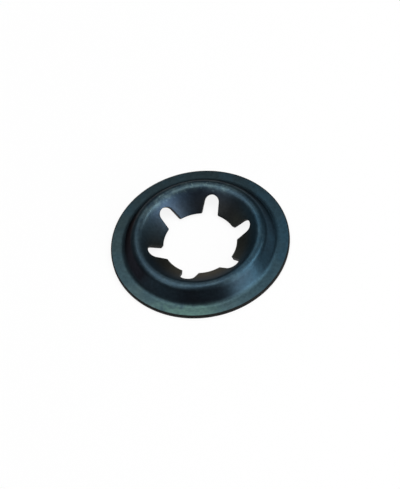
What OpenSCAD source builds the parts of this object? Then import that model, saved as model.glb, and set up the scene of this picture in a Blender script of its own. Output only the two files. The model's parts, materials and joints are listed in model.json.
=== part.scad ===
// Push-on retaining ring of thin spring sheet, pressed from one blank.
// A flat rim bends up into a domed ridge, and six teeth slope down from the
// ridge to grip a plain round shaft. The origin is on the ring's axis, in the
// plane that the rim rests on, and the shaft passes along Z.

/* [Ring] */
// Diameter over the rim
ring_d = 18; // [17.5:0.25:22]
// Thickness of the spring sheet
sheet_t = 0.4; // [0.3:0.05:0.5]
// Overall height, from the plane that the rim rests on to the top of the ridge
ring_h = 1.95; // [1.75:0.05:2.2]
// Radius that softens the upper edge of the rim
rim_edge_r = 0.1; // [0.04:0.02:0.16]

/* [Rim and ridge] */
// Width of the flat part of the rim
rim_w = 0.9; // [0.7:0.05:1.15]
// Diameter of the ridge, along its crest
ridge_d = 12.4; // [12:0.1:12.8]
// Radius of the bend from the rim into the wall, on its hollow side
wall_bend_r = 0.7; // [0.4:0.05:0.8]
// Radius of the bend over the ridge, on its hollow side
ridge_bend_r = 0.5; // [0.35:0.05:0.65]

/* [Teeth] */
// Number of teeth, with one slot between each two
tooth_count = 6; // [4:1:7]
// Diameter of the circle through the tooth tips
grip_d = 7.4; // [7:0.1:7.8]
// Height of the upper edge of the tips, above the plane that the rim rests on
tip_h = 0.37; // [0.37:0.01:0.5]
// Height of the upright land at the tips, which grips the shaft
tip_land = 0.1; // [0.06:0.02:0.16]
// Radius of the two corners of each tooth tip
tip_corner_r = 0.15; // [0.1:0.05:0.25]

/* [Slots] */
// Width of a slot across its round end
slot_w = 1.5; // [1.2:0.05:1.7]
// Diameter over the round ends of the slots
slot_span_d = 10.5; // [10.1:0.1:10.9]
// Angle at which the two sides of a slot open towards the hole
slot_flare = 8; // [4:1:12]

/* [Hidden] */
$fn = 180;
// Turn between two points of a bend, in degrees
bend_step = 6;

// How deep the slot punch is
punch_depth = 2;
// How far a corner's round dips into the slot and the hole that it runs into
dip = 0.003;
ring_r = ring_d / 2;
grip_r = grip_d / 2;

// The bend at the foot of the wall: its centre is above the rim
foot = [ring_r - rim_w, sheet_t + wall_bend_r];
// The bend over the ridge: its centre is under the crest
crest = [ridge_d / 2, ring_h - sheet_t - ridge_bend_r];

// The wall is the straight stretch between the two bends. It touches the
// outside of one and the inside of the other, at the same sheet thickness.
wall_reach = norm(foot - crest);
bends_r = wall_bend_r + sheet_t + ridge_bend_r;
wall_angle = atan2(crest.y - foot.y, foot.x - crest.x) + asin(bends_r / wall_reach);

// The upper side of a tooth runs from its tip to the outside of the ridge
tip = [grip_r, tip_h];
rise = crest - tip;
tooth_angle = atan2(rise.y, rise.x) + asin((ridge_bend_r + sheet_t) / norm(rise));

// The sheet ends square at a tip, but for the upright land on its upper corner
land_foot = tip - [0, tip_land];
tip_foot = land_foot
    + (sheet_t - tip_land * cos(tooth_angle)) * [sin(tooth_angle), -cos(tooth_angle)];

// A slot is punched square to the teeth. Its outline lies in the plane of the
// teeth's upper side, which meets the ring's axis at this height.
plane_z = tip_h - grip_r * tan(tooth_angle);
slot_end_x = slot_span_d / 2 / cos(tooth_angle) - slot_w / 2;
half_flare = slot_flare / 2;

// Point at a radius and an angle from a centre
function polar(centre, r, a) = centre + r * [cos(a), sin(a)];

// Points along an arc round a centre, from one angle to another
function arc(centre, r, from, to) =
    let (steps = ceil(abs(to - from) / bend_step))
    [for (i = [0:steps]) polar(centre, r, from + (to - from) * i / steps)];

// Upper side of the sheet, from the tooth over the ridge and out to the rim
upper_side = concat(
    [tip],
    arc(crest, ridge_bend_r + sheet_t, 90 + tooth_angle, 90 - wall_angle),
    arc(foot, wall_bend_r, -90 - wall_angle, -90),
    arc([ring_r - rim_edge_r, sheet_t - rim_edge_r], rim_edge_r, 90, 0)
);

// Underside of the sheet, from the rim back to the tooth
lower_side = concat(
    [[ring_r, 0]],
    arc(foot, wall_bend_r + sheet_t, -90, -90 - wall_angle),
    arc(crest, ridge_bend_r, 90 - wall_angle, 90 + tooth_angle),
    [tip_foot, land_foot]
);

// Half of the ring's section
module section() {
    polygon(concat(upper_side, lower_side));
}

// Half width of a slot, at a distance from the axis along the teeth's slope
function half_width(x) = slot_w / 2 / cos(half_flare) - (x - slot_end_x) * tan(half_flare);

// Point of the tip circle, at a turn from a slot's middle, seen along the punch
function on_tips(turn) =
    [grip_r * cos(turn) * cos(tooth_angle)
        + (land_foot.y - plane_z) * sin(tooth_angle),
     grip_r * sin(turn)];

// Turn at which a slot's side meets the tip circle, closer with each try
function corner_turn(turn, tries) =
    tries == 0 ? turn : corner_turn(asin(half_width(on_tips(turn).x) / grip_r), tries - 1);

// What rounds off a tooth's corner, on the left side of the slot along +X. Its
// circle dips a hair into the slot and the hole, so it crosses their edges.
module corner_trim() {
    turn = corner_turn(0, 8);
    corner = on_tips(turn);
    chord = on_tips(turn + 2 * tip_corner_r / grip_r * 180 / PI) - corner;
    along_tip = chord / norm(chord);
    along_slot = [cos(half_flare), -sin(half_flare)];
    inset = (tip_corner_r - dip) / cross(along_slot, along_tip);
    to_hole = 2 * tip_corner_r * [-along_tip.y, along_tip.x];
    to_slot = 2 * tip_corner_r * [along_slot.y, -along_slot.x];
    translate(corner + inset * (along_slot + along_tip))
        difference() {
            polygon([[0, 0], to_hole, to_hole + to_slot, to_slot]);
            circle(tip_corner_r);
        }
}

// Outline of the slot along +X: a round end, two sides that open inwards, and
// the rounds of the two tooth corners at its mouth
module slot() {
    touch = polar([slot_end_x, 0], slot_w / 2, 90 - half_flare);
    translate([slot_end_x, 0])
        circle(slot_w / 2);
    polygon([touch, [0, half_width(0)], [0, -half_width(0)], [touch.x, -touch.y]]);
    corner_trim();
    mirror([0, 1])
        corner_trim();
}

module retaining_ring() {
    color([0.11, 0.16, 0.18])
        difference() {
            rotate_extrude()
                section();
            for (i = [0:tooth_count - 1])
                rotate((i + 0.5) * 360 / tooth_count)
                    translate([0, 0, plane_z])
                        rotate([0, -tooth_angle, 0])
                            translate([0, 0, -punch_depth / 2])
                                linear_extrude(punch_depth)
                                    slot();
        }
}

retaining_ring();
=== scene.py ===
import json
import math

import bmesh
import bpy
from bpy.props import FloatProperty, FloatVectorProperty, IntProperty, PointerProperty
from mathutils import Matrix, Quaternion, Vector

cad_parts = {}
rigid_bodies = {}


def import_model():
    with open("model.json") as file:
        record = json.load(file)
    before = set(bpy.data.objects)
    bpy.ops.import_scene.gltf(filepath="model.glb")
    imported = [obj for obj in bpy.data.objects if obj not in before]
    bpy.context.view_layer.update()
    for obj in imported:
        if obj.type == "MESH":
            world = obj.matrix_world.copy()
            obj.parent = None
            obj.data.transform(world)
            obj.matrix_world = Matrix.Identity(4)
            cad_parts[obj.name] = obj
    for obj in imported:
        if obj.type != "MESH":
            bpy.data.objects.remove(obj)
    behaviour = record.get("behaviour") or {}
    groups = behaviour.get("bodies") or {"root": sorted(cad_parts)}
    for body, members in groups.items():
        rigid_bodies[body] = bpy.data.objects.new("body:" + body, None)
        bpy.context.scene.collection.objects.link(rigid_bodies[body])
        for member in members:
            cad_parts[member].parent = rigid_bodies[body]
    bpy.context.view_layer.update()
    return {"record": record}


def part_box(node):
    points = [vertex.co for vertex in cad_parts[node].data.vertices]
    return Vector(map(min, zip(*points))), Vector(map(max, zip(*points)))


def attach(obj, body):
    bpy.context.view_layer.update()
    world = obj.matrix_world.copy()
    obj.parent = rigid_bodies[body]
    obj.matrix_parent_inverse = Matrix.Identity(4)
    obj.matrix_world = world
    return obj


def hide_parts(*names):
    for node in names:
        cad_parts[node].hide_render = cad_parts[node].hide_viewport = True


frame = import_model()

bl_info = {
    "name": "Push-on Retaining Ring",
    "version": (1, 0, 0),
    "blender": (4, 5, 0),
    "location": "3D View > Sidebar > Ring",
    "description": "Presses a toothed ring of spring sheet and blackens it",
    "category": "Add Mesh",
}

MM = 0.001
NODE = "retaining_ring"
# The highest corner of the ring's own box
RING_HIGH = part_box(NODE)[1]
GRIP = next(m for m in frame["record"]["mounts"] if m["name"] == "shaft_grip")


# Sizes and finishes that a user would change

class RingSizes(bpy.types.PropertyGroup):
    """Sizes of the pressed ring, the same as those of the solid it covers"""
    radius: FloatProperty(
        name="Outer radius", description="Radius over the rim",
        default=RING_HIGH.x, unit="LENGTH")
    height: FloatProperty(
        name="Height", description="From the plane the rim rests on to the top of the ridge",
        default=RING_HIGH.z, unit="LENGTH")
    sheet: FloatProperty(
        name="Sheet", description="Thickness of the spring sheet",
        default=0.4 * MM, unit="LENGTH")
    rim_width: FloatProperty(
        name="Rim width", description="Width of the flat part of the rim",
        default=0.9 * MM, unit="LENGTH")
    ridge_radius: FloatProperty(
        name="Ridge radius", description="Radius of the ridge along its crest",
        default=6.2 * MM, unit="LENGTH")
    wall_bend: FloatProperty(
        name="Wall bend", description="Radius of the bend at the foot of the wall, hollow side",
        default=0.7 * MM, unit="LENGTH")
    ridge_bend: FloatProperty(
        name="Ridge bend", description="Radius of the bend over the ridge, hollow side",
        default=0.5 * MM, unit="LENGTH")
    grip_radius: FloatProperty(
        name="Tooth circle", description="Radius of the circle through the tooth tips",
        default=GRIP["dims"]["r_mm"] * MM, unit="LENGTH")
    tip_height: FloatProperty(
        name="Tip height", description="Height of the upper edge of the tooth tips",
        default=0.37 * MM, unit="LENGTH")
    tip_land: FloatProperty(
        name="Tip land", description="Height of the upright land that grips the shaft",
        default=0.1 * MM, unit="LENGTH")
    slot_width: FloatProperty(
        name="Slot width", description="Width of a slot across its round end",
        default=1.5 * MM, unit="LENGTH")
    slot_reach: FloatProperty(
        name="Slot reach", description="Distance from the axis to the far end of a slot",
        default=5.25 * MM, unit="LENGTH")
    slot_flare: FloatProperty(
        name="Slot flare", description="Angle between one side of a slot and its middle line",
        default=math.radians(4), unit="ROTATION")
    teeth: IntProperty(
        name="Teeth", description="Number of teeth, with a slot between each two",
        default=6, min=3)
    corner: FloatProperty(
        name="Tooth corner", description="Radius of the corners of a tooth tip, in plan",
        default=0.15 * MM, unit="LENGTH")
    rim_edge: FloatProperty(
        name="Rim edge", description="Radius of the rolled upper edge of the rim",
        default=0.1 * MM, unit="LENGTH")
    cut_edge: FloatProperty(
        name="Cut edge", description="Rounding of the punched edges",
        default=0.025 * MM, unit="LENGTH")
    facets: IntProperty(
        name="Facets", description="Steps in a full turn of the ring",
        default=180, min=24)


class OxideLook(bpy.types.PropertyGroup):
    """Colours and gloss of the blackened spring steel, with painted sheen, highlight and shade"""
    navy: FloatVectorProperty(
        name="Navy oxide", description="Blue-black of the oxide on the wall, ridge and teeth",
        subtype="COLOR", size=4, min=0, max=1, default=(0.024, 0.043, 0.062, 1))
    # Dull: the rim's colour where no painted sheen lies over it
    dull: FloatVectorProperty(
        name="Dull oxide", description="Grey-black of the thickest oxide on the rim",
        subtype="COLOR", size=4, min=0, max=1, default=(0.022, 0.037, 0.044, 1))
    # Slate: the colour of the painted sheen on the rim, and of random patches on the wall, ridge
    # and teeth
    slate: FloatVectorProperty(
        name="Slate oxide", description="Grey-blue of the thin oxide on the rim",
        subtype="COLOR", size=4, min=0, max=1, default=(0.074, 0.123, 0.132, 1))
    # Mint: painted highlight on the rim's brightest side, in cloudy patches
    mint: FloatVectorProperty(
        name="Mint oxide", description="Green-blue of the thinnest oxide on the rim",
        subtype="COLOR", size=4, min=0, max=1, default=(0.090, 0.165, 0.152, 1))
    # Blue: random patches on the rim, and a painted sheen on one side of the ring
    blue: FloatVectorProperty(
        name="Blue oxide", description="Blue of the rim's patches and of the ring's blue side",
        subtype="COLOR", size=4, min=0, max=1, default=(0.024, 0.062, 0.093, 1))
    # Plum: random patches and a purple-black patch on the wall, and painted shade on the wall's
    # dark side and on the dim teeth
    plum: FloatVectorProperty(
        name="Plum oxide", description="Purple-black of the patches on the wall and the dim teeth",
        subtype="COLOR", size=4, min=0, max=1, default=(0.015, 0.017, 0.023, 1))
    violet: FloatVectorProperty(
        name="Violet oxide", description="Violet-blue of the teeth on one side",
        subtype="COLOR", size=4, min=0, max=1, default=(0.029, 0.050, 0.080, 1))
    olive: FloatVectorProperty(
        name="Olive oxide", description="Brown-green tint towards the tooth tips",
        subtype="COLOR", size=4, min=0, max=1, default=(0.060, 0.062, 0.051, 1))
    cut: FloatVectorProperty(
        name="Cut edge", description="Dull black of the punched edges",
        subtype="COLOR", size=4, min=0, max=1, default=(0.010, 0.011, 0.011, 1))
    # Rubbed steel: real wear on the ridge all round, and painted highlight on one side of it
    rubbed: FloatVectorProperty(
        name="Rubbed steel", description="Grey of the steel where the oxide is rubbed thin",
        subtype="COLOR", size=4, min=0, max=1, default=(0.120, 0.180, 0.180, 1))
    edge_tint: FloatVectorProperty(
        name="Grazing tint", description="Warm tint of the oxide, seen along its surface",
        subtype="COLOR", size=4, min=0, max=1, default=(0.50, 0.47, 0.45, 1))
    cut_gloss: FloatProperty(
        name="Cut gloss", description="Gloss of the punched edges, which don't shine as metal",
        default=0.15, min=0, max=1)
    roughness: FloatProperty(
        name="Roughness", description="Roughness of the oxide on the wall, ridge and teeth",
        default=0.34, min=0, max=1)
    rim_roughness: FloatProperty(
        name="Rim roughness", description="Roughness of the duller oxide on the rim",
        default=0.48, min=0, max=1)
    mottle: FloatProperty(
        name="Mottle", description="How much lighter and darker the flecks of oxide are",
        default=0.45, min=0, max=1)
    # Direction of the painted sheen on the rim, in slate and mint
    rim_sheen_side: FloatProperty(
        name="Thin side", description="Direction in which the oxide on the rim is thinnest",
        default=math.radians(-84), unit="ROTATION")
    # Direction of the painted blue sheen on the rim, wall, ridge and teeth
    blue_sheen_side: FloatProperty(
        name="Blue side", description="Direction in which the oxide is bluest",
        default=math.radians(4), unit="ROTATION")
    violet_side: FloatProperty(
        name="Violet side", description="Direction in which the teeth are violet",
        default=math.radians(122), unit="ROTATION")
    clean_side: FloatProperty(
        name="Clean side", description="Direction in which the tooth tips are least olive",
        default=math.radians(149), unit="ROTATION")
    # Direction of the painted shade on the teeth, in plum
    shaded_teeth_side: FloatProperty(
        name="Dim side", description="Direction in which the teeth are darkest",
        default=math.radians(84), unit="ROTATION")
    # Direction of the painted highlight on the ridge, in rubbed steel
    ridge_glint_side: FloatProperty(
        name="Worn side", description="Direction in which the ridge is rubbed most",
        default=math.radians(120), unit="ROTATION")
    # Direction of the painted shade on the wall, in plum
    shaded_wall_side: FloatProperty(
        name="Dark side", description="Direction in which the wall is darkest",
        default=math.radians(-158), unit="ROTATION")
    plum_patch: FloatProperty(
        name="Plum patch", description="Direction of a small purple-black patch on the wall",
        default=math.radians(-72), unit="ROTATION")


class StudioSetup(bpy.types.PropertyGroup):
    """Camera, floor and lights round the ring"""
    azimuth: FloatProperty(
        name="Azimuth", description="Turn of the camera round the ring's axis",
        default=math.radians(23.7), unit="ROTATION")
    elevation: FloatProperty(
        name="Elevation", description="Height angle of the camera above the table",
        default=math.radians(53.6), unit="ROTATION")
    lean: FloatProperty(
        name="Lean", description="How far the ring leans to the left in the picture",
        default=math.radians(10.5), unit="ROTATION")
    distance: FloatProperty(
        name="Distance", description="From the camera to the middle of the ring",
        default=0.5, unit="LENGTH")
    frame_height: FloatProperty(
        name="Frame height", description="Height of the picture at the ring, in real size",
        default=48.95 * MM, unit="LENGTH")
    aim_right: FloatProperty(
        name="Aim right", description="How far right of the ring's middle the camera aims",
        default=-0.05 * MM, unit="LENGTH")
    aim_up: FloatProperty(
        name="Aim up", description="How far above the ring's middle the camera aims",
        default=0.04 * MM, unit="LENGTH")
    paper: FloatVectorProperty(
        name="Paper", description="Colour of the pale paper that the ring lies on",
        subtype="COLOR", size=4, min=0, max=1, default=(0.9, 0.9, 0.9, 1))
    paper_glow: FloatProperty(
        name="Paper glow", description="Share of plain white in the paper, as it is seen",
        default=0.88, min=0, max=1)
    fill: FloatProperty(
        name="Fill", description="Strength of the even light from all round",
        default=0.2, min=0)


# Small helpers for working as by hand

# A hair, for finding vertices by their place
NEAR = 0.002 * MM
# The same for points that come from different sums or cuts
LOOSE = 0.02 * MM
# Points closer than this are one point that was made twice
DOUBLED = 0.001 * MM
# How close to the cutting plane a point counts as on it
ON_PLANE = 0.0002 * MM


def deselect_objects():
    for obj in bpy.context.view_layer.objects:
        obj.select_set(False)


def activate(obj):
    deselect_objects()
    obj.select_set(True)
    bpy.context.view_layer.objects.active = obj


def select_where(obj, kind, test):
    """In edit mode, selects the vertices, edges or faces that pass the test and nothing else."""
    modes = {
        "VERT": (True, False, False), "EDGE": (False, True, False), "FACE": (False, False, True)}
    bpy.context.tool_settings.mesh_select_mode = modes[kind]
    bpy.ops.mesh.select_all(action="DESELECT")
    mesh = bmesh.from_edit_mesh(obj.data)
    for part in {"VERT": mesh.verts, "EDGE": mesh.edges, "FACE": mesh.faces}[kind]:
        if test(part):
            part.select_set(True)
    mesh.select_flush_mode()
    bmesh.update_edit_mesh(obj.data)


def apply_modifier(obj, kind, **settings):
    activate(obj)
    modifier = obj.modifiers.new(kind.lower(), kind)
    for name, value in settings.items():
        setattr(modifier, name, value)
    bpy.ops.object.modifier_apply(modifier=modifier.name)


def merge_close_points(obj, distance):
    activate(obj)
    bpy.ops.object.mode_set(mode="EDIT")
    bpy.ops.mesh.select_all(action="SELECT")
    bpy.ops.mesh.remove_doubles(threshold=distance)
    bpy.ops.mesh.normals_make_consistent(inside=False)
    bpy.ops.object.mode_set(mode="OBJECT")


# The ring

RIM_EDGE_STEPS = 5
LOWER_EDGE_STEPS = 2
FOOT_STEPS = 10
RIDGE_STEPS = 16
# Enough that the slots leave no long slivers, which would show in the gloss
TOOTH_STEPS = 8
SLOT_END_STEP = math.radians(5)
CORNER_STEPS = 6
CUT_EDGE_STEPS = 3
# Depth of the punch, in thicknesses of the sheet
PUNCH_DEPTH = 6
# Rounds of the sum that finds a tooth's corner, each closer than the last
CORNER_ROUNDS = 8
# Edges that turn by more than this are softened
SHARP = math.radians(40)
# Edges that turn by less than this are shaded smooth
SMOOTH = math.radians(42)
# How strongly the large faces steer the shading of the small ones
FACE_WEIGHT = 60


class Bends:
    """Where the two bends of the section lie, and how far the sheet turns in each."""

    def __init__(self, sizes):
        sheet = sizes.sheet
        self.foot = Vector((sizes.radius - sizes.rim_width, 0, sheet + sizes.wall_bend))
        self.crest = Vector((sizes.ridge_radius, 0, sizes.height - sheet - sizes.ridge_bend))
        gap = self.foot - self.crest
        both = sizes.wall_bend + sheet + sizes.ridge_bend
        self.wall_length = math.sqrt(gap.length_squared - both * both)
        self.wall_angle = math.atan2(-gap.z, gap.x) + math.asin(both / gap.length)
        rise = self.crest - Vector((sizes.grip_radius, 0, sizes.tip_height))
        over = sizes.ridge_bend + sheet
        self.tooth_angle = math.atan2(rise.z, rise.x) + math.asin(over / rise.length)
        # The strip's end is square, so its lower corner lies further out than the land
        leaning = sizes.tip_land * math.sin(self.tooth_angle)
        self.tooth_length = math.sqrt(rise.length_squared - over * over) + leaning


def bend_strip(sizes, bends):
    """A flat strip in section, bent up as the press bends it."""
    inner = sizes.radius - sizes.rim_width
    deselect_objects()
    bpy.ops.mesh.primitive_plane_add(
        size=1, location=(inner + sizes.rim_width / 2, 0, sizes.sheet / 2),
        rotation=(math.pi / 2, 0, 0))
    ring = bpy.context.active_object
    ring.name = "spring_ring"
    ring.scale = (sizes.rim_width, sizes.sheet, 1)
    bpy.ops.object.transform_apply(location=True, rotation=True, scale=True)
    bpy.ops.object.mode_set(mode="EDIT")

    # Rolled upper edge and crisp lower edge of the rim
    for height, radius, steps in (
            (sizes.sheet, sizes.rim_edge, RIM_EDGE_STEPS), (0, sizes.cut_edge, LOWER_EDGE_STEPS)):
        corner = Vector((sizes.radius, 0, height))
        select_where(ring, "VERT", lambda v: (v.co - corner).length < NEAR)
        bpy.ops.mesh.bevel(offset=radius, segments=steps, affect="VERTICES")

    # Foot of the wall, wall, ridge and tooth
    select_where(ring, "EDGE", lambda e: all(abs(v.co.x - inner) < NEAR for v in e.verts))
    bpy.ops.mesh.spin(
        steps=FOOT_STEPS, angle=-bends.wall_angle, center=bends.foot, axis=(0, 1, 0))
    wall = Vector((-math.cos(bends.wall_angle), 0, math.sin(bends.wall_angle)))
    bpy.ops.mesh.extrude_region_move(
        TRANSFORM_OT_translate={"value": wall * bends.wall_length})
    bpy.ops.mesh.spin(
        steps=RIDGE_STEPS, angle=bends.wall_angle + bends.tooth_angle, center=bends.crest,
        axis=(0, 1, 0))
    tooth = Vector((-math.cos(bends.tooth_angle), 0, -math.sin(bends.tooth_angle)))
    for _ in range(TOOTH_STEPS):
        bpy.ops.mesh.extrude_region_move(
            TRANSFORM_OT_translate={"value": tooth * bends.tooth_length / TOOTH_STEPS})
    return ring


def spin_outline(ring, sizes):
    """Cuts the upright land at the tip, keeps the strip's outline and turns it round the axis."""
    bpy.ops.mesh.select_all(action="SELECT")
    bpy.ops.mesh.bisect(
        plane_co=(sizes.grip_radius, 0, 0), plane_no=(1, 0, 0), clear_inner=True,
        threshold=ON_PLANE)
    bpy.ops.mesh.select_all(action="SELECT")
    bpy.context.tool_settings.mesh_select_mode = (False, True, False)
    bpy.ops.mesh.region_to_loop()
    bpy.ops.mesh.select_all(action="INVERT")
    bpy.ops.mesh.delete(type="EDGE_FACE")
    bpy.ops.mesh.select_all(action="SELECT")
    bpy.ops.mesh.spin(
        steps=sizes.facets, angle=math.tau, center=(0, 0, 0), axis=(0, 0, 1))
    bpy.ops.object.mode_set(mode="OBJECT")
    merge_close_points(ring, DOUBLED)


def tooth_corner(sizes, bends, centre):
    """Where a slot's side meets the foot of the land on the tip, and the next point along it.

    Both are seen along the punch, which stands square on the tooth.
    """
    def on_circle(turn):
        along = sizes.grip_radius * math.cos(turn) * math.cos(bends.tooth_angle)
        along += sizes.grip_radius * math.sin(bends.tooth_angle) * math.tan(bends.tooth_angle)
        along -= sizes.tip_land * math.sin(bends.tooth_angle)
        return Vector((along, sizes.grip_radius * math.sin(turn), 0))

    turn = 0
    for _ in range(CORNER_ROUNDS):
        past = on_circle(turn).x - centre
        side = sizes.slot_width / 2 / math.cos(sizes.slot_flare)
        side -= past * math.tan(sizes.slot_flare)
        turn = math.asin(side / sizes.grip_radius)
    return on_circle(turn), on_circle(turn + 2 * sizes.corner / sizes.grip_radius)


def slot_punch(sizes, bends):
    """The punch of one slot, along +X: a round end, and sides that open towards the axis.

    Its mouth has an ear on each side, which rounds the corner of a tooth.
    """
    half = sizes.slot_width / 2
    centre = sizes.slot_reach / math.cos(bends.tooth_angle) - half
    corner, ear = tooth_corner(sizes, bends, centre)
    deselect_objects()
    bpy.ops.mesh.primitive_circle_add(
        vertices=round(math.tau / SLOT_END_STEP), radius=half, location=(centre, 0, 0),
        rotation=(0, 0, math.pi / 2))
    punch = bpy.context.active_object
    bpy.ops.object.transform_apply(location=True, rotation=True)
    bpy.ops.object.mode_set(mode="EDIT")
    # The sides start where the round end has turned far enough to touch them
    turn = SLOT_END_STEP * math.floor((math.pi / 2 - sizes.slot_flare) / SLOT_END_STEP)
    touch = Vector((centre + half * math.cos(turn), half * math.sin(turn), 0))
    select_where(punch, "VERT", lambda v: v.co.x < touch.x - NEAR)
    bpy.ops.mesh.delete(type="VERT")
    for side in (1, -1):
        end = Vector((touch.x, side * touch.y, 0))
        for point in (corner, ear, ear - Vector((2 * sizes.corner, 0, 0))):
            stop = Vector((point.x, side * point.y, 0))
            select_where(punch, "VERT", lambda v: (v.co - end).length < LOOSE)
            bpy.ops.mesh.extrude_region_move(TRANSFORM_OT_translate={"value": stop - end})
            end = stop
    bpy.ops.mesh.select_all(action="SELECT")
    bpy.ops.mesh.edge_face_add()
    select_where(
        punch, "VERT",
        lambda v: abs(v.co.x - corner.x) < NEAR and abs(abs(v.co.y) - corner.y) < NEAR)
    bpy.ops.mesh.bevel(
        offset=sizes.corner, offset_type="OFFSET", segments=CORNER_STEPS, affect="VERTICES")
    depth = PUNCH_DEPTH * sizes.sheet
    bpy.ops.mesh.select_all(action="SELECT")
    bpy.ops.transform.translate(value=(0, 0, -depth / 2))
    bpy.ops.mesh.extrude_region_move(TRANSFORM_OT_translate={"value": (0, 0, depth)})
    bpy.ops.mesh.select_all(action="SELECT")
    bpy.ops.mesh.normals_make_consistent(inside=False)
    bpy.ops.object.mode_set(mode="OBJECT")
    # Stand it square on the tooth, with its middle in the tooth's upper side
    drop = sizes.tip_height - sizes.grip_radius * math.tan(bends.tooth_angle)
    punch.data.transform(
        Matrix.Translation((0, 0, drop)) @ Matrix.Rotation(-bends.tooth_angle, 4, "Y"))
    return punch


def punch_slots(ring, sizes, bends):
    """Cuts the slots between the teeth, all with one punch that goes round."""
    first = slot_punch(sizes, bends)
    for number in range(sizes.teeth):
        punch = first.copy()
        punch.data = first.data.copy()
        bpy.context.collection.objects.link(punch)
        punch.data.transform(
            Matrix.Rotation((number + 0.5) * math.tau / sizes.teeth, 4, "Z"))
        apply_modifier(ring, "BOOLEAN", operation="DIFFERENCE", solver="EXACT", object=punch)
        bpy.data.objects.remove(punch)
    bpy.data.objects.remove(first)


def list_in_order(obj):
    """Lists the points and faces by their place, because the punch leaves them in any order.

    The merge and the bevel go by that order, so without this each run gives a different mesh.
    """
    mesh = obj.data
    points = sorted(mesh.vertices, key=lambda point: tuple(point.co))
    places = [tuple(point.co) for point in points]
    numbers = {point.index: number for number, point in enumerate(points)}
    faces = []
    for face in mesh.polygons:
        corners = [numbers[index] for index in face.vertices]
        first = corners.index(min(corners))
        faces.append(corners[first:] + corners[:first])
    mesh.clear_geometry()
    mesh.from_pydata(places, [], sorted(faces))


def soften_edges(ring, sizes):
    """Takes the bite off every punched edge."""
    list_in_order(ring)
    merge_close_points(ring, LOOSE)
    apply_modifier(
        ring, "BEVEL", width=sizes.cut_edge, segments=CUT_EDGE_STEPS, limit_method="ANGLE",
        angle_limit=SHARP, use_clamp_overlap=False)
    merge_close_points(ring, DOUBLED)
    bpy.ops.object.shade_smooth_by_angle(angle=SMOOTH)
    apply_modifier(
        ring, "WEIGHTED_NORMAL", mode="FACE_AREA", weight=FACE_WEIGHT, keep_sharp=True)


class RING_OT_press_ring(bpy.types.Operator):
    """Press the ring from spring sheet, punch its slots and blacken it"""
    bl_idname = "ring.press_ring"
    bl_label = "Press ring"

    def execute(self, context):
        sizes = context.scene.ring_sizes
        bends = Bends(sizes)
        ring = bend_strip(sizes, bends)
        spin_outline(ring, sizes)
        punch_slots(ring, sizes, bends)
        soften_edges(ring, sizes)
        ring.data.materials.clear()
        ring.data.materials.append(blued_steel(context.scene.oxide_look, sizes, bends))
        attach(ring, "root")
        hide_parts(NODE)
        return {"FINISHED"}


# Small helpers for nodes

# Where the Mix node keeps its sockets for colours
MIX_SHARE = 0
MIX_FIRST = 6
MIX_SECOND = 7
MIX_RESULT = 2


def add_node(tree, kind, inputs=None, **settings):
    """Adds a node with its settings. Each input is set to a value or joined to a socket."""
    node = tree.nodes.new(kind)
    for name, value in settings.items():
        setattr(node, name, value)
    for key, value in (inputs or {}).items():
        if isinstance(value, bpy.types.NodeSocket):
            tree.links.new(value, node.inputs[key])
        else:
            node.inputs[key].default_value = value
    return node


def maths(tree, operation, *values, clamp=False):
    node = add_node(
        tree, "ShaderNodeMath", dict(enumerate(values)), operation=operation, use_clamp=clamp)
    return node.outputs[0]


def times(tree, first, second, clamp=False):
    return maths(tree, "MULTIPLY", first, second, clamp=clamp)


def times_plus(tree, value, factor, more, clamp=False):
    """The value times the factor, and more."""
    return maths(tree, "MULTIPLY_ADD", value, factor, more, clamp=clamp)


def smaller(tree, *values):
    """The smallest of some values."""
    least = values[0]
    for value in values[1:]:
        least = maths(tree, "MINIMUM", least, value)
    return least


def fade(tree, value, start, end):
    """0 where the value is at the start or before it, 1 at the end, smooth between."""
    node = add_node(
        tree, "ShaderNodeMapRange", {"Value": value, "From Min": start, "From Max": end},
        interpolation_type="SMOOTHSTEP")
    return node.outputs["Result"]


def blend(tree, share, first, second, kind="MIX"):
    """Mixes two colours."""
    node = add_node(
        tree, "ShaderNodeMix", {MIX_SHARE: share, MIX_FIRST: first, MIX_SECOND: second},
        data_type="RGBA", blend_type=kind)
    return node.outputs[MIX_RESULT]


def new_group(name, inputs, outputs):
    """An empty node group with named sockets, and its two end nodes."""
    group = bpy.data.node_groups.new(name, "ShaderNodeTree")
    for in_out, sockets in (("INPUT", inputs), ("OUTPUT", outputs)):
        for label, kind in sockets.items():
            group.interface.new_socket(label, in_out=in_out, socket_type=f"NodeSocket{kind}")
    start = group.nodes.new("NodeGroupInput")
    end = group.nodes.new("NodeGroupOutput")
    return group, start.outputs, end.inputs


def use_group(tree, group, inputs):
    return add_node(tree, "ShaderNodeGroup", inputs, node_tree=group).outputs


# Where a point is on the ring

# How far in from the outside of the rim its punched edge reaches, in radii of the rolled edge
RIM_CUT = 0.8


def ring_places():
    """Node group: where a point is on the ring, in millimetres and as a turn round the axis."""
    group, given, result = new_group(
        "places_on_the_ring", {"Position": "Vector"},
        {"Place": "Vector", "Radius": "Float", "Height": "Float", "Turn": "Float"})
    place = add_node(
        group, "ShaderNodeVectorMath", {0: given["Position"], "Scale": 1 / MM},
        operation="SCALE").outputs[0]
    split = add_node(group, "ShaderNodeSeparateXYZ", {0: place}).outputs
    flat = add_node(group, "ShaderNodeCombineXYZ", {"X": split["X"], "Y": split["Y"]}).outputs[0]
    radius = add_node(
        group, "ShaderNodeVectorMath", {0: flat}, operation="LENGTH").outputs["Value"]
    group.links.new(place, result["Place"])
    group.links.new(radius, result["Radius"])
    group.links.new(split["Z"], result["Height"])
    group.links.new(maths(group, "ARCTAN2", split["Y"], split["X"]), result["Turn"])
    return group


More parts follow.
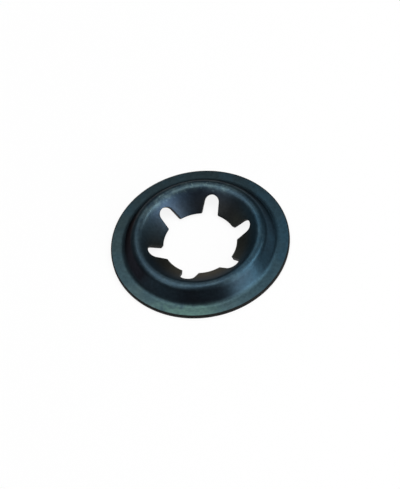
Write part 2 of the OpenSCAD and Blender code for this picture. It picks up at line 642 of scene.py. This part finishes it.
def punched_edges(sizes, bends):
    """Node group: how far a point is from the nearest punched edge, in millimetres.

    All slots are folded on to the one along +X, and measured along the slope of the teeth.
    """
    group, given, result = new_group(
        "distance_to_punched_edge", {"Radius": "Float", "Height": "Float", "Turn": "Float"},
        {"Distance": "Float"})
    pitch = math.tau / sizes.teeth
    half = sizes.slot_width / 2 / MM
    slope = bends.tooth_angle
    centre = sizes.slot_reach / math.cos(slope) / MM - half
    drop = (sizes.tip_height - sizes.grip_radius * math.tan(slope)) / MM

    turned = maths(group, "ADD", given["Turn"], math.tau + pitch / 2)
    folded = maths(group, "PINGPONG", turned, pitch / 2)
    out = times(group, given["Radius"], maths(group, "COSINE", folded))
    side = times(group, given["Radius"], maths(group, "SINE", folded))
    rise = times(group, maths(group, "SUBTRACT", given["Height"], drop), math.sin(slope))
    along = times_plus(group, out, math.cos(slope), rise)
    past = maths(group, "SUBTRACT", along, centre)
    reach = maths(group, "SQRT", times_plus(group, side, side, times(group, past, past)))
    at_end = maths(group, "SUBTRACT", reach, half)
    flared = times_plus(group, past, math.sin(sizes.slot_flare), -half)
    at_side = times_plus(group, side, math.cos(sizes.slot_flare), flared)
    beyond = maths(group, "GREATER_THAN", past, 0.0)
    from_slot = times_plus(group, maths(group, "SUBTRACT", at_end, at_side), beyond, at_side)

    tip = (sizes.grip_radius / MM) * math.cos(slope)
    tip += ((sizes.tip_height - sizes.tip_land) / MM - drop) * math.sin(slope)
    straight = times_plus(group, given["Radius"], math.cos(slope), rise)
    from_tip = maths(group, "SUBTRACT", straight, tip)
    rim_cut = (sizes.radius - RIM_CUT * sizes.rim_edge) / MM
    from_rim = maths(group, "SUBTRACT", rim_cut, given["Radius"])
    group.links.new(smaller(group, from_slot, from_tip, from_rim), result["Distance"])
    return group


# Zones across the ring: where each begins and where it is full, in millimetres outwards from
# the circle in its name
RIM_FROM_FOOT = (-0.65, -0.05)
WALL_FROM_FOOT = (-0.25, -0.7)
WALL_FROM_RIDGE = (0.35, 0.75)
TOOTH_FROM_RIDGE = (-0.2, -0.9)
TIP_FROM_GRIP = (2.2, 0.5)
# The same to both sides of the ridge, and inwards from a punched edge
AROUND_RIDGE = (0.9, 0.2)
PUNCHED_EDGE = (0.045, 0.012)

# Noise in the oxide: size of its patches in millimetres, its detail and its seed
DRIFT = (3.0, 2, 1.7)
CLOUD = (0.9, 2, 8.3)
FINE = (0.30, 3, 5.1)
NOISE_ROUGHNESS = 0.6


def flecks(tree, place, size, detail, seed):
    """Cloudy noise between 0 and 1, with patches of about a size in millimetres."""
    node = add_node(
        tree, "ShaderNodeTexNoise",
        {"Vector": place, "W": seed, "Scale": 1 / size, "Detail": detail,
         "Roughness": NOISE_ROUGHNESS},
        noise_dimensions="4D")
    return node.outputs["Fac"]


def zone(tree, radius, circle, limits):
    """Fades in between two distances from one of the ring's circles, in millimetres."""
    start, full = limits
    return fade(tree, radius, circle + start, circle + full)


def facing(tree, turn, direction):
    """1 on the side of the ring that lies in a direction, 0 on the far side, smooth between."""
    off = maths(tree, "SUBTRACT", turn, direction)
    return times_plus(tree, maths(tree, "COSINE", off), 0.5, 0.5)


def side_of_ring(tree, turn, direction, limits):
    """0 where a point faces the direction less than the first limit says, 1 past the second."""
    start, full = limits
    return fade(tree, facing(tree, turn, direction), start, full)


class Marks:
    """Zones and noise that the coats of oxide share."""

    def __init__(self, tree, sizes, bends):
        position = add_node(tree, "ShaderNodeTexCoord").outputs["Object"]
        where = use_group(tree, ring_places(), {"Position": position})
        place = where["Place"]
        radius = where["Radius"]
        self.turn = where["Turn"]
        edge = use_group(
            tree, punched_edges(sizes, bends),
            {"Radius": radius, "Height": where["Height"], "Turn": self.turn})["Distance"]

        foot = (sizes.radius - sizes.rim_width) / MM
        ridge = sizes.ridge_radius / MM
        grip = sizes.grip_radius / MM
        off_ridge = maths(tree, "ABSOLUTE", maths(tree, "SUBTRACT", radius, ridge))
        self.on_rim = zone(tree, radius, foot, RIM_FROM_FOOT)
        self.on_wall = times(
            tree, zone(tree, radius, ridge, WALL_FROM_RIDGE),
            zone(tree, radius, foot, WALL_FROM_FOOT))
        self.on_ridge = fade(tree, off_ridge, *AROUND_RIDGE)
        self.on_tooth = zone(tree, radius, ridge, TOOTH_FROM_RIDGE)
        self.near_tip = zone(tree, radius, grip, TIP_FROM_GRIP)
        self.cut = fade(tree, edge, *PUNCHED_EDGE)

        self.drift = flecks(tree, place, *DRIFT)
        self.cloud = flecks(tree, place, *CLOUD)
        self.fine = flecks(tree, place, *FINE)


# The oxide on the rim, with painted sheen on one side

# How squarely a point has to face a direction where each side begins and where it is full
MINT_RIM = (0.93, 1.0)
BLUE_RIM = (0.60, 1.0)
# Levels of the noise at which patches begin and are full
MINT_PATCHES = (0.30, 0.60)
BLUE_PATCHES = (0.42, 0.62)
# How much each coat covers of the one under it
RIM_SHEEN_COVER = 0.85
BLUE_RIM_COVER = 0.5
BLUE_PATCH_COVER = 0.3
# How fast the painted sheen falls off round the rim
RIM_SHEEN_FALL = 1.7
# Clouds multiply the slate by the least where they are 0, and by the swing more where they are 1
CLOUD_LEAST = 0.65
CLOUD_SWING = 0.7


def rim_oxide_and_sheen(tree, marks, look):
    """Dull oxide, painted sheen in slate and mint towards one side, random blue patches and a
    painted blue sheen on another side.
    """
    # Painted sheen: the rim goes from dull to slate towards one side, broken up by clouds
    rim_sheen_side = facing(tree, marks.turn, look.rim_sheen_side)
    thin = times(tree, maths(tree, "POWER", rim_sheen_side, RIM_SHEEN_FALL), RIM_SHEEN_COVER)
    clouds = times_plus(tree, marks.cloud, CLOUD_SWING, CLOUD_LEAST)
    rim = blend(tree, times(tree, thin, clouds, clamp=True), look.dull, look.slate)

    patches = times(tree, fade(tree, marks.drift, *BLUE_PATCHES), BLUE_PATCH_COVER)
    # Painted blue sheen on one side of the rim, over random blue patches
    blue_sheen_side = side_of_ring(tree, marks.turn, look.blue_sheen_side, BLUE_RIM)
    rim = blend(tree, times_plus(tree, blue_sheen_side, BLUE_RIM_COVER, patches), rim, look.blue)

    # Painted highlight in mint on that side, in cloudy patches
    mint_sheen = times(
        tree, fade(tree, rim_sheen_side, *MINT_RIM), fade(tree, marks.cloud, *MINT_PATCHES))
    return blend(tree, mint_sheen, rim, look.mint)


# The oxide on the wall, ridge and teeth, with painted sheen, highlight and shade

# How squarely a point has to face a direction where each side begins and where it is full
BLUE_SHEET = (0.75, 1.0)
SHADED_WALL = (0.87, 0.965)
PLUM_WALL = (0.955, 0.99)
VIOLET_TEETH = (0.75, 0.97)
CLEAN_TIPS = (0.75, 0.95)
SHADED_TEETH = (0.89, 0.97)
GLINT_RIDGE = (0.70, 0.98)
# Levels of the noise at which patches begin and are full
PLUM_PATCHES = (0.35, 0.65)
RUBBED_AND_GLINT_PATCHES = (0.40, 0.70)
GLINT_SPECKS = (0.56, 0.66)
# How much each coat covers of the one under it
SLATE_COVER = 0.2
BLUE_SHEET_COVER = 0.7
PLUM_PATCHES_COVER = 0.4
PLUM_WALL_COVER = 0.45
SHADED_TEETH_COVER = 0.62
GLINT_SPECK_COVER = 0.6
# The olive, and what the clean side takes off it
OLIVE_COVER = 0.85
CLEAN_LOSS = 0.65
# The rubbed patches all round, and the painted highlight that one side of the ridge adds to them
RUBBED_COVER = 0.1
GLINT_GAIN = 0.3


def rubbed_and_glint_share(tree, marks, look):
    """How much of the steel shows on the ridge: rubbed patches all round, and painted highlight on
    one side, in lighter patches and small bright flecks.
    """
    ridge_glint_side = side_of_ring(tree, marks.turn, look.ridge_glint_side, GLINT_RIDGE)
    patches = times(
        tree, fade(tree, marks.cloud, *RUBBED_AND_GLINT_PATCHES),
        times_plus(tree, ridge_glint_side, GLINT_GAIN, RUBBED_COVER))
    # Painted highlight: small bright flecks, only on one side of the ridge
    glint_specks = times(
        tree, fade(tree, marks.fine, *GLINT_SPECKS), times(tree, ridge_glint_side, GLINT_SPECK_COVER))
    return times(tree, marks.on_ridge, maths(tree, "MAXIMUM", patches, glint_specks))


def sheet_oxide_sheen_and_shade(tree, marks, look):
    """Navy with random slate and plum patches, a painted blue sheen on one side, painted shade in
    plum on the wall's dark side and on some teeth, violet teeth, olive tips, and a rubbed ridge
    with painted highlight on one side.
    """
    def on_side(direction, limits):
        return side_of_ring(tree, marks.turn, direction, limits)

    sheet = blend(tree, times(tree, marks.drift, SLATE_COVER), look.navy, look.slate)
    # Painted blue sheen on one side of the wall, ridge and teeth
    blue_sheen_side = on_side(look.blue_sheen_side, BLUE_SHEET)
    sheet = blend(tree, times(tree, blue_sheen_side, BLUE_SHEET_COVER), sheet, look.blue)

    # Plum in random patches on the wall, and as painted shade on its dark side
    plum = times_plus(
        tree, fade(tree, marks.drift, *PLUM_PATCHES), PLUM_PATCHES_COVER,
        on_side(look.shaded_wall_side, SHADED_WALL))
    plum = times_plus(
        tree, on_side(look.plum_patch, PLUM_WALL), PLUM_WALL_COVER, plum, clamp=True)
    sheet = blend(tree, times(tree, marks.on_wall, plum), sheet, look.plum)

    violet_side = on_side(look.violet_side, VIOLET_TEETH)
    sheet = blend(tree, times(tree, marks.on_tooth, violet_side), sheet, look.violet)
    olive = times_plus(tree, on_side(look.clean_side, CLEAN_TIPS), -CLEAN_LOSS, OLIVE_COVER)
    sheet = blend(tree, times(tree, marks.near_tip, olive), sheet, look.olive)
    # Painted shade: plum over the teeth on one side
    shaded_teeth = times(tree, marks.on_tooth, on_side(look.shaded_teeth_side, SHADED_TEETH))
    sheet = blend(tree, times(tree, shaded_teeth, SHADED_TEETH_COVER), sheet, look.plum)
    return blend(tree, rubbed_and_glint_share(tree, marks, look), sheet, look.rubbed)


# The whole finish

# From the smoothest to the roughest patch of oxide
DRIFT_ROUGHNESS = 0.16
# How much rougher a punched edge is
CUT_ROUGHNESS = 0.2
GRAIN_STRENGTH = 0.12
GRAIN_DEPTH = 0.02 * MM


def blued_steel(look, sizes, bends):
    """Blue-black oxide on spring sheet, with fine flecks and grain, dull punched edges, and
    painted sheen, highlight and shade.
    """
    material = bpy.data.materials.new("blued_spring_steel")
    material.use_nodes = True
    tree = material.node_tree
    shader = tree.nodes["Principled BSDF"]
    marks = Marks(tree, sizes, bends)

    colour = blend(
        tree, marks.on_rim, sheet_oxide_sheen_and_shade(tree, marks, look), rim_oxide_and_sheen(tree, marks, look))
    shade = times_plus(tree, marks.fine, 2 * look.mottle, 1 - look.mottle)
    shades = add_node(
        tree, "ShaderNodeCombineColor", {"Red": shade, "Green": shade, "Blue": shade}).outputs[0]
    colour = blend(tree, 1.0, colour, shades, "MULTIPLY")
    colour = blend(tree, marks.cut, colour, look.cut)
    tree.links.new(colour, shader.inputs["Base Color"])

    rough = times_plus(
        tree, marks.on_rim, look.rim_roughness - look.roughness, look.roughness)
    uneven = times_plus(tree, marks.drift, DRIFT_ROUGHNESS, -DRIFT_ROUGHNESS / 2)
    rough = maths(tree, "ADD", rough, uneven)
    rough = times_plus(tree, marks.cut, CUT_ROUGHNESS, rough, clamp=True)
    tree.links.new(rough, shader.inputs["Roughness"])
    tree.links.new(maths(tree, "SUBTRACT", 1.0, marks.cut), shader.inputs["Metallic"])

    grain = add_node(
        tree, "ShaderNodeBump",
        {"Height": marks.fine, "Strength": GRAIN_STRENGTH, "Distance": GRAIN_DEPTH})
    tree.links.new(grain.outputs["Normal"], shader.inputs["Normal"])
    shader.inputs["Specular IOR Level"].default_value = look.cut_gloss
    shader.inputs["Specular Tint"].default_value = look.edge_tint
    return material


# The stage

# Width of the camera's film, in millimetres
FILM = 36
# Nearest and furthest that the camera sees, in metres
CLIP_NEAR = 0.01
CLIP_FAR = 20
# Width of the floor, in metres
FLOOR_SIZE = 4
# The floor lies a hair under the ring, so that the two don't mix when they are seen from below
FLOOR_DROP = 0.02 * MM
PAPER_ROUGHNESS = 0.9
# How far from the ring the lamps hang, in metres
LAMP_DISTANCE = 0.5
# Soft lamps: name, degrees round from the camera's right towards the far side, degrees up from
# the floor, degrees wide and high as seen from the ring, and radiance
LAMPS = (
    ("key_low", -38, 25, 34, 40, 3.93),
    ("key_high", -10, 56, 40, 18, 4.5),
    ("top_right", 40, 70, 40, 14, 0.9),
    ("zenith", 90, 84, 34, 20, 2.0),
    ("top_left", 150, 66, 50, 20, 2.2),
    ("back", 92, 43, 36, 16, 1.1),
    ("left", -152, 55, 26, 18, 1.2),
)


def white_paper(setup):
    """Pale paper that takes the ring's shadow, and looks white in the picture and in the ring."""
    material = bpy.data.materials.new("white_paper")
    material.use_nodes = True
    tree = material.node_tree
    shader = tree.nodes["Principled BSDF"]
    shader.inputs["Base Color"].default_value = setup.paper
    shader.inputs["Roughness"].default_value = PAPER_ROUGHNESS
    shader.inputs["Specular IOR Level"].default_value = 0.0
    rays = add_node(tree, "ShaderNodeLightPath").outputs
    seen = maths(tree, "MAXIMUM", rays["Is Camera Ray"], rays["Is Glossy Ray"])
    seen = maths(tree, "MAXIMUM", seen, rays["Is Transmission Ray"])
    glow = add_node(tree, "ShaderNodeEmission").outputs[0]
    mix = add_node(
        tree, "ShaderNodeMixShader",
        {0: times(tree, seen, setup.paper_glow), 1: shader.outputs[0], 2: glow})
    tree.links.new(mix.outputs[0], tree.nodes["Material Output"].inputs["Surface"])
    return material


def way_from_ring(turn, elevation):
    """A direction from the ring, turned from +X and raised from the floor."""
    level = math.cos(elevation)
    return Vector((math.cos(turn) * level, math.sin(turn) * level, math.sin(elevation)))


def hang_lamp(name, way, wide, high, radiance):
    """A soft lamp that shines at the ring. Its width and height are angles seen from there."""
    lamp = bpy.data.lights.new(name, "AREA")
    lamp.shape = "RECTANGLE"
    width, height = (2 * LAMP_DISTANCE * math.tan(angle / 2) for angle in (wide, high))
    lamp.size = width
    lamp.size_y = height
    lamp.energy = radiance * math.pi * width * height
    obj = bpy.data.objects.new(name, lamp)
    obj.matrix_world = (
        Matrix.Translation(way * LAMP_DISTANCE)
        @ (-way).to_track_quat("-Z", "Y").to_matrix().to_4x4())
    obj.visible_camera = False
    bpy.context.collection.objects.link(obj)


def set_camera(scene, setup):
    """Stands the camera in front of the ring, at the photograph's angle."""
    camera = bpy.data.objects.new("camera", bpy.data.cameras.new("camera"))
    bpy.context.collection.objects.link(camera)
    camera.data.sensor_width = FILM
    camera.data.lens = FILM * setup.distance / setup.frame_height
    camera.data.clip_start = CLIP_NEAR
    camera.data.clip_end = CLIP_FAR
    way = way_from_ring(setup.azimuth - math.pi / 2, setup.elevation)
    look = (-way).to_track_quat("-Z", "Y") @ Quaternion((0, 0, 1), -setup.lean)
    camera.rotation_mode = "QUATERNION"
    camera.rotation_quaternion = look
    camera.location = (
        way * setup.distance + look @ Vector((setup.aim_right, setup.aim_up, 0)))
    scene.camera = camera


class RING_OT_set_stage(bpy.types.Operator):
    """Lay the pale floor, hang the soft lamps and set up the camera"""
    bl_idname = "ring.set_stage"
    bl_label = "Set stage"

    def execute(self, context):
        scene = context.scene
        setup = scene.studio_setup
        set_camera(scene, setup)

        deselect_objects()
        bpy.ops.mesh.primitive_plane_add(size=FLOOR_SIZE, location=(0, 0, -FLOOR_DROP))
        floor = context.active_object
        floor.name = "floor"
        floor.data.materials.append(white_paper(setup))

        for name, *angles, radiance in LAMPS:
            azimuth, elevation, wide, high = map(math.radians, angles)
            way = way_from_ring(setup.azimuth + azimuth, elevation)
            hang_lamp(name, way, wide, high, radiance)

        world = scene.world or bpy.data.worlds.new("studio")
        scene.world = world
        world.use_nodes = True
        background = world.node_tree.nodes["Background"]
        background.inputs["Color"].default_value = (1, 1, 1, 1)
        background.inputs["Strength"].default_value = setup.fill
        scene.view_settings.view_transform = "Standard"
        return {"FINISHED"}


class RING_PT_panel(bpy.types.Panel):
    """Buttons and sizes of the ring"""
    bl_idname = "RING_PT_panel"
    bl_label = "Retaining ring"
    bl_space_type = "VIEW_3D"
    bl_region_type = "UI"
    bl_category = "Ring"

    def draw(self, context):
        layout = self.layout
        for group in ("ring_sizes", "oxide_look", "studio_setup"):
            box = layout.box()
            values = getattr(context.scene, group)
            for name in values.__annotations__:
                box.prop(values, name)
        layout.operator("ring.press_ring")
        layout.operator("ring.set_stage")


CLASSES = (RingSizes, OxideLook, StudioSetup, RING_OT_press_ring, RING_OT_set_stage, RING_PT_panel)


def register():
    for cls in CLASSES:
        bpy.utils.register_class(cls)
    bpy.types.Scene.ring_sizes = PointerProperty(type=RingSizes)
    bpy.types.Scene.oxide_look = PointerProperty(type=OxideLook)
    bpy.types.Scene.studio_setup = PointerProperty(type=StudioSetup)


def unregister():
    del bpy.types.Scene.studio_setup
    del bpy.types.Scene.oxide_look
    del bpy.types.Scene.ring_sizes
    for cls in reversed(CLASSES):
        bpy.utils.unregister_class(cls)


def main():
    """Makes the ring and its stage."""
    register()
    bpy.ops.ring.press_ring()
    bpy.ops.ring.set_stage()


if __name__ == "__main__":
    main()
